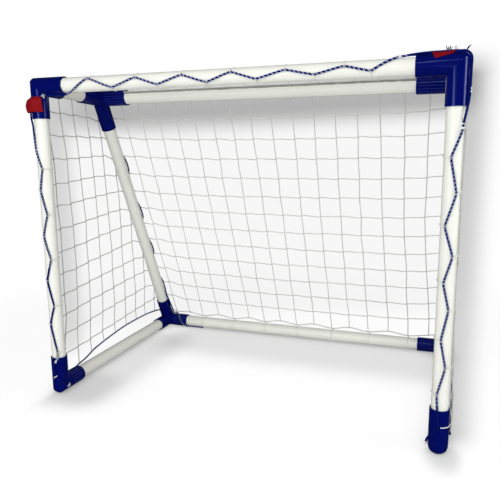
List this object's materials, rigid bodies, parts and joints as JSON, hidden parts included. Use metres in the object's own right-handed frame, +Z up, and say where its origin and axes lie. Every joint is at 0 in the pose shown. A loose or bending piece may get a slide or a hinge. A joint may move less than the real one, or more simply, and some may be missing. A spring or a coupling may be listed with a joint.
{
  "type": "hockey goal",
  "caption": "Small free-standing hockey goal: a frame of white tubes in navy corner fittings, with a knotted net laced over its roof, back and sides.",
  "frame": {"origin": "on the floor, under the middle of the goal's base", "axes": "+X from the left post to the right post as seen from the mouth's side, +Y from the mouth to the back, +Z up"},
  "size_m": [0.9312, 0.6092, 0.7444],
  "materials": {
    "tube_white": "smooth off-white plastic tube with a soft gloss",
    "fitting_navy": "moulded dark navy plastic, glossy",
    "net_thread": "knotted off-white twine",
    "cord_navy": "braided navy cord with white flecks",
    "twine_white": "tight turns of white twine",
    "ribbon_red": "woven red ribbon"
  },
  "bodies": {
    "root": {"crossbar": "tube_white", "left_post": "tube_white", "right_post": "tube_white", "top_back_bar": "tube_white", "left_top_side_bar": "tube_white", "right_top_side_bar": "tube_white", "left_strut": "tube_white", "right_strut": "tube_white", "left_base_bar": "tube_white", "right_base_bar": "tube_white", "back_base_bar": "tube_white", "left_top_front_corner": "fitting_navy", "right_top_front_corner": "fitting_navy", "left_top_back_corner": "fitting_navy", "right_top_back_corner": "fitting_navy", "left_base_back_corner": "fitting_navy", "right_base_back_corner": "fitting_navy", "left_base_elbow": "fitting_navy", "right_base_elbow": "fitting_navy", "roof_net": "net_thread", "back_net": "net_thread", "left_side_net": "net_thread", "right_side_net": "net_thread", "crossbar_net_loops": "net_thread", "left_post_net_loops": "net_thread", "right_post_net_loops": "net_thread", "back_bar_net_rings": "net_thread", "crossbar_lacing": "cord_navy", "left_post_lacing": "cord_navy", "right_post_lacing": "cord_navy", "left_strut_lacing": "cord_navy", "right_strut_lacing": "cord_navy", "left_hem_cord": "cord_navy", "right_hem_cord": "cord_navy", "twine_turns": "twine_white", "left_red_tab": "ribbon_red", "right_red_tab": "ribbon_red"}
  },
  "joints": []
}
